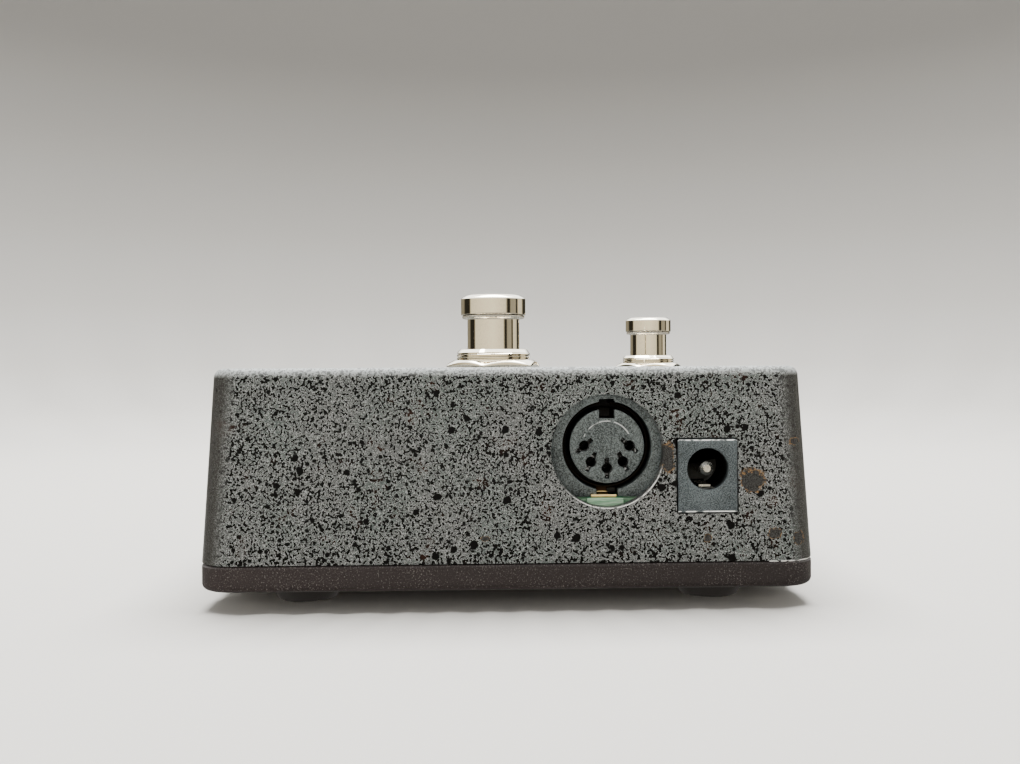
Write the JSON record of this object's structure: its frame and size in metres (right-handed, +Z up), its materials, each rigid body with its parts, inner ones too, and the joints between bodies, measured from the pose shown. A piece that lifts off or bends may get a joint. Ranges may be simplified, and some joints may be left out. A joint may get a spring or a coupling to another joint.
{
  "type": "foot controller pedal",
  "caption": "Sprung footswitches on a flecked grey cast box with rubber feet, a screwed base lid, a round multi-pin socket and a barrel power jack in one end wall.",
  "frame": {"origin": "on the floor under the middle of the box: bottom centre of the bounding box", "axes": "+Z up from the feet to the buttons, +Y from the socket wall to the rear, +X to the right seen from the socket wall"},
  "size_m": [0.094, 0.1194, 0.049],
  "materials": {
    "granite_paint": "grey powder coat with a black fleck, lightly textured",
    "dark_paint": "near-black fine-textured powder coat",
    "foot_rubber": "matt",
    "chrome_plate": "bright plated, warm",
    "zinc_steel": "zinc plated",
    "spring_steel": "drawn wire",
    "contact_brass": "plain",
    "tinned_metal": "tin plated",
    "switch_plastic": "moulded",
    "phenolic": "moulded",
    "socket_plastic": "moulded, slightly dusty",
    "jack_plastic": "moulded, satin",
    "red_insulation": "satin",
    "black_insulation": "satin",
    "board_laminate": "green solder mask on glass laminate",
    "chip_plastic": "moulded",
    "capacitor_sleeve": "shrink sleeve",
    "ceramic_body": "dipped",
    "resistor_body": "lacquered"
  },
  "bodies": {
    "chassis": {"base_lid": "dark_paint", "ceramic_capacitors": "ceramic_body", "chip_socket": "chip_plastic", "circuit_board": "board_laminate", "crystal": "tinned_metal", "dc_centre_pin": "tinned_metal", "dc_jack_housing": "jack_plastic", "dc_lead_black": "black_insulation", "dc_lead_red": "red_insulation", "dc_sleeve_leaf": "tinned_metal", "din_contacts": "tinned_metal", "din_housing": "socket_plastic", "din_insert": "socket_plastic", "din_screen_ring": "contact_brass", "enclosure_body": "granite_paint", "foot_front_left": "foot_rubber", "foot_front_right": "foot_rubber", "foot_rear_left": "foot_rubber", "foot_rear_right": "foot_rubber", "front_switch_base": "phenolic", "front_switch_bushing": "chrome_plate", "front_switch_frame": "zinc_steel", "front_switch_housing": "switch_plastic", "front_switch_inner_nut": "chrome_plate", "front_switch_lock_washer": "zinc_steel", "front_switch_outer_nut": "chrome_plate", "front_switch_return_spring": "spring_steel", "front_switch_terminals": "contact_brass", "input_capacitor": "capacitor_sleeve", "lid_screws": "zinc_steel", "microcontroller": "chip_plastic", "output_capacitor": "capacitor_sleeve", "polarity_diode": "chip_plastic", "programming_header": "chip_plastic", "rear_switch_base": "phenolic", "rear_switch_bushing": "chrome_plate", "rear_switch_frame": "zinc_steel", "rear_switch_housing": "switch_plastic", "rear_switch_inner_nut": "chrome_plate", "rear_switch_lock_washer": "zinc_steel", "rear_switch_outer_nut": "chrome_plate", "rear_switch_return_spring": "spring_steel", "rear_switch_terminals": "contact_brass", "resistors": "resistor_body", "voltage_regulator": "chip_plastic"},
    "front_button": {"front_switch_plunger": "chrome_plate", "front_switch_contact_bridge": "contact_brass"},
    "rear_button": {"rear_switch_plunger": "chrome_plate", "rear_switch_contact_bridge": "contact_brass"}
  },
  "joints": [
    {"name": "front_button_press", "type": "slide", "parent": "chassis", "child": "front_button", "axis": [0, 0, -1], "range_m": [0, 0.0025], "stiffness_N_per_m": 1500, "springref_m": -0.004, "deforming": ["front_switch_return_spring"]},
    {"name": "rear_button_press", "type": "slide", "parent": "chassis", "child": "rear_button", "axis": [0, 0, -1], "range_m": [0, 0.0025], "stiffness_N_per_m": 1500, "springref_m": -0.004, "deforming": ["rear_switch_return_spring"]}
  ]
}
